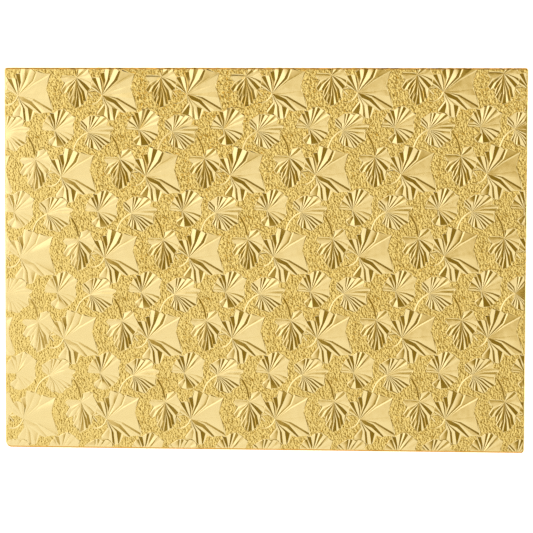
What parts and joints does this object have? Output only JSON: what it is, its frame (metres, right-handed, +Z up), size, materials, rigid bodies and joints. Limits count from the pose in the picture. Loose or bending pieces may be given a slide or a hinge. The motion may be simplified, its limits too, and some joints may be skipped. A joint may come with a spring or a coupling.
{
  "type": "cake board",
  "caption": "Rectangular cake board: a stiff corrugated board wrapped in gold foil paper embossed with pleated leaves, with a plain sheet glued over the folds underneath.",
  "frame": {"origin": "under the middle of the board, on the surface that it lies on", "axes": "+X along the long side, to the right in the picture; +Y along the short side, towards the picture's top edge; +Z up out of the embossed face"},
  "size_m": [0.4762, 0.3492, 0.0132],
  "materials": {
    "gold_foil": "embossed satin gold foil on paper",
    "kraft_board": "matt corrugated fibreboard",
    "backing_paper": "matt white paper"
  },
  "bodies": {
    "root": {"foil_wrap": "gold_foil", "corrugated_core": "kraft_board", "backing_sheet": "backing_paper"}
  },
  "joints": []
}
